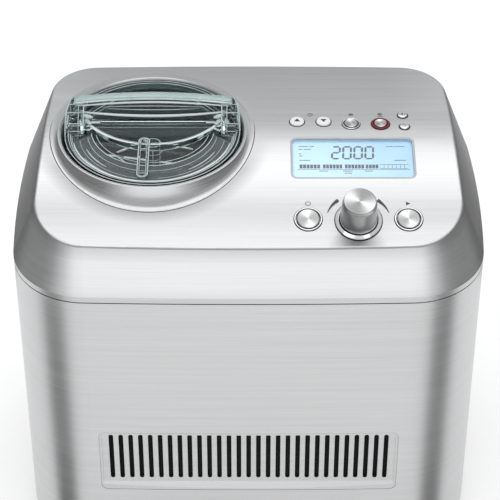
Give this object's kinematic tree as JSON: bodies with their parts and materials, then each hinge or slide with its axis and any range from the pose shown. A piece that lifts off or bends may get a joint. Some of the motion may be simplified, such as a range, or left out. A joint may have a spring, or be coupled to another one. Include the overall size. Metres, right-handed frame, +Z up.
{
  "type": "ice cream maker",
  "caption": "Free-standing compressor ice cream maker: brushed steel housing, clear lid with flip-up hatch over a lift-out bowl, backlit display, dial, push buttons and front vent.",
  "frame": {"origin": "on the resting surface, under the middle of the housing", "axes": "+Z up, +X to the right seen from the front, +Y to the back; the vent, display and dial face -Y"},
  "size_m": [0.38, 0.2524, 0.368],
  "materials": {
    "brushed_steel": "horizontal brushed grain",
    "collar_steel": "satin with bright rim",
    "grille_steel": "satin",
    "black_plastic": "fine moulded texture",
    "rubber": "matte",
    "screw_steel": "plain zinc",
    "bezel_plastic": "satin grey",
    "display_glass": "clear",
    "lcd": "backlit pale blue",
    "pcb": "solder mask",
    "chrome": "polished",
    "spun_metal": "circular spun",
    "white_plastic": "satin",
    "red_light": "lit translucent",
    "bowl_aluminium": "anodised",
    "pipe_metal": "drawn tube",
    "foam": "moulded foam",
    "zinc_steel": "zinc plated sheet",
    "bronze": "sintered",
    "gear_plastic": "acetal",
    "motor_metal": "satin can",
    "compressor_paint": "satin black paint",
    "fin_aluminium": "thin fins",
    "copper": "drawn copper",
    "paddle_plastic": "satin",
    "clear_lid": "clear moulded",
    "seal_rubber": "soft silicone"
  },
  "bodies": {
    "housing": {"outer_wrap": "brushed_steel", "top_cover": "brushed_steel", "bowl_collar": "collar_steel", "front_vent_grille": "grille_steel", "rear_panel": "black_plastic", "lead_inlet_gland": "rubber", "base_pan": "black_plastic", "feet": "rubber", "cover_screws": "screw_steel", "base_screws": "screw_steel", "board_screws": "screw_steel", "display_bezel": "bezel_plastic", "display_window": "display_glass", "lcd_module": "lcd", "control_board": "pcb", "knob_board": "pcb", "knob_base_ring": "chrome", "encoder": "black_plastic", "precool_ring": "chrome", "keepcool_light_ring": "red_light", "power_ring": "chrome", "start_ring": "chrome", "evaporator_well": "bowl_aluminium", "evaporator_coil": "pipe_metal", "insulation_shell": "foam", "well_bracket": "zinc_steel", "gear_plate": "zinc_steel", "spindle_bearings": "bronze", "drive_motor": "motor_metal", "compressor": "compressor_paint", "compressor_grommets": "rubber", "condenser": "fin_aluminium", "fan_shroud": "black_plastic", "fan_motor": "motor_metal", "suction_line": "copper", "discharge_line": "copper", "filter_drier": "copper", "power_board": "pcb"},
    "bowl": {"freezer_bowl": "bowl_aluminium"},
    "lid": {"lid_frame": "clear_lid", "lid_seal": "seal_rubber", "hatch_pins": "screw_steel"},
    "hatch": {"lid_hatch": "clear_lid"},
    "paddle": {"mixing_paddle": "paddle_plastic"},
    "drive": {"drive_spindle": "screw_steel", "drive_gear": "gear_plastic"},
    "pinion": {"motor_pinion": "screw_steel"},
    "fan": {"fan_rotor": "black_plastic"},
    "knob": {"selector_knob": "spun_metal", "knob_shaft": "screw_steel"},
    "timer_up_key": {"timer_up_button": "white_plastic"},
    "timer_down_key": {"timer_down_button": "white_plastic"},
    "precool_key": {"precool_button": "spun_metal"},
    "keepcool_key": {"keepcool_button": "spun_metal"},
    "volume_key": {"volume_button": "spun_metal"},
    "units_key": {"units_button": "spun_metal"},
    "power_key": {"power_button": "spun_metal"},
    "start_key": {"start_button": "spun_metal"}
  },
  "joints": [
    {"name": "bowl_lift", "type": "slide", "parent": "housing", "child": "bowl", "axis": [0, 0, 1], "range_m": [0, 0.18]},
    {"name": "lid_lift", "type": "slide", "parent": "bowl", "child": "lid", "axis": [0, 0, 1], "range_m": [0, 0.06]},
    {"name": "hatch_hinge", "type": "hinge", "parent": "lid", "child": "hatch", "pos_m": [-0.0778, 0.023, 0.3462], "axis": [-1, 0, 0], "range_deg": [0, 90]},
    {"name": "paddle_spin", "type": "hinge", "parent": "bowl", "child": "paddle", "pos_m": [-0.0778, 0.0084, 0.26], "axis": [0, 0, 1], "continuous": true},
    {"name": "drive_spin", "type": "hinge", "parent": "housing", "child": "drive", "pos_m": [-0.0778, 0.0084, 0.145], "axis": [0, 0, 1], "continuous": true},
    {"name": "pinion_spin", "type": "hinge", "parent": "housing", "child": "pinion", "pos_m": [-0.0238, 0.0084, 0.145], "axis": [0, 0, 1], "continuous": true},
    {"name": "fan_spin", "type": "hinge", "parent": "housing", "child": "fan", "pos_m": [0.035, -0.079, 0.096], "axis": [0, -1, 0], "continuous": true},
    {"name": "knob_turn", "type": "hinge", "parent": "housing", "child": "knob", "pos_m": [0.0855, -0.087, 0.33216], "axis": [0, -0.284, 0.9588], "continuous": true},
    {"name": "timer_up_press", "type": "slide", "parent": "housing", "child": "timer_up_key", "axis": [0, 0.0101, -0.9999], "range_m": [0, 0.0012], "stiffness_N_per_m": 600, "springref_m": -0.0004},
    {"name": "timer_down_press", "type": "slide", "parent": "housing", "child": "timer_down_key", "axis": [0, 0.0101, -0.9999], "range_m": [0, 0.0012], "stiffness_N_per_m": 600, "springref_m": -0.0004},
    {"name": "precool_press", "type": "slide", "parent": "housing", "child": "precool_key", "axis": [0, 0.017, -0.9999], "range_m": [0, 0.0012], "stiffness_N_per_m": 600, "springref_m": -0.0004},
    {"name": "keepcool_press", "type": "slide", "parent": "housing", "child": "keepcool_key", "axis": [0, 0.017, -0.9999], "range_m": [0, 0.0012], "stiffness_N_per_m": 600, "springref_m": -0.0004},
    {"name": "volume_press", "type": "slide", "parent": "housing", "child": "volume_key", "axis": [0, 0, -1], "range_m": [0, 0.0012], "stiffness_N_per_m": 600, "springref_m": -0.0004},
    {"name": "units_press", "type": "slide", "parent": "housing", "child": "units_key", "axis": [0, 0.0264, -0.9997], "range_m": [0, 0.0012], "stiffness_N_per_m": 600, "springref_m": -0.0004},
    {"name": "power_press", "type": "slide", "parent": "housing", "child": "power_key", "axis": [0, 0.281, -0.9597], "range_m": [0, 0.0012], "stiffness_N_per_m": 600, "springref_m": -0.0004},
    {"name": "start_press", "type": "slide", "parent": "housing", "child": "start_key", "axis": [0, 0.281, -0.9597], "range_m": [0, 0.0012], "stiffness_N_per_m": 600, "springref_m": -0.0004}
  ],
  "couplings": [
    {"joint": "paddle_spin", "follows": "drive_spin", "ratio": 1},
    {"joint": "pinion_spin", "follows": "drive_spin", "ratio": -5}
  ]
}
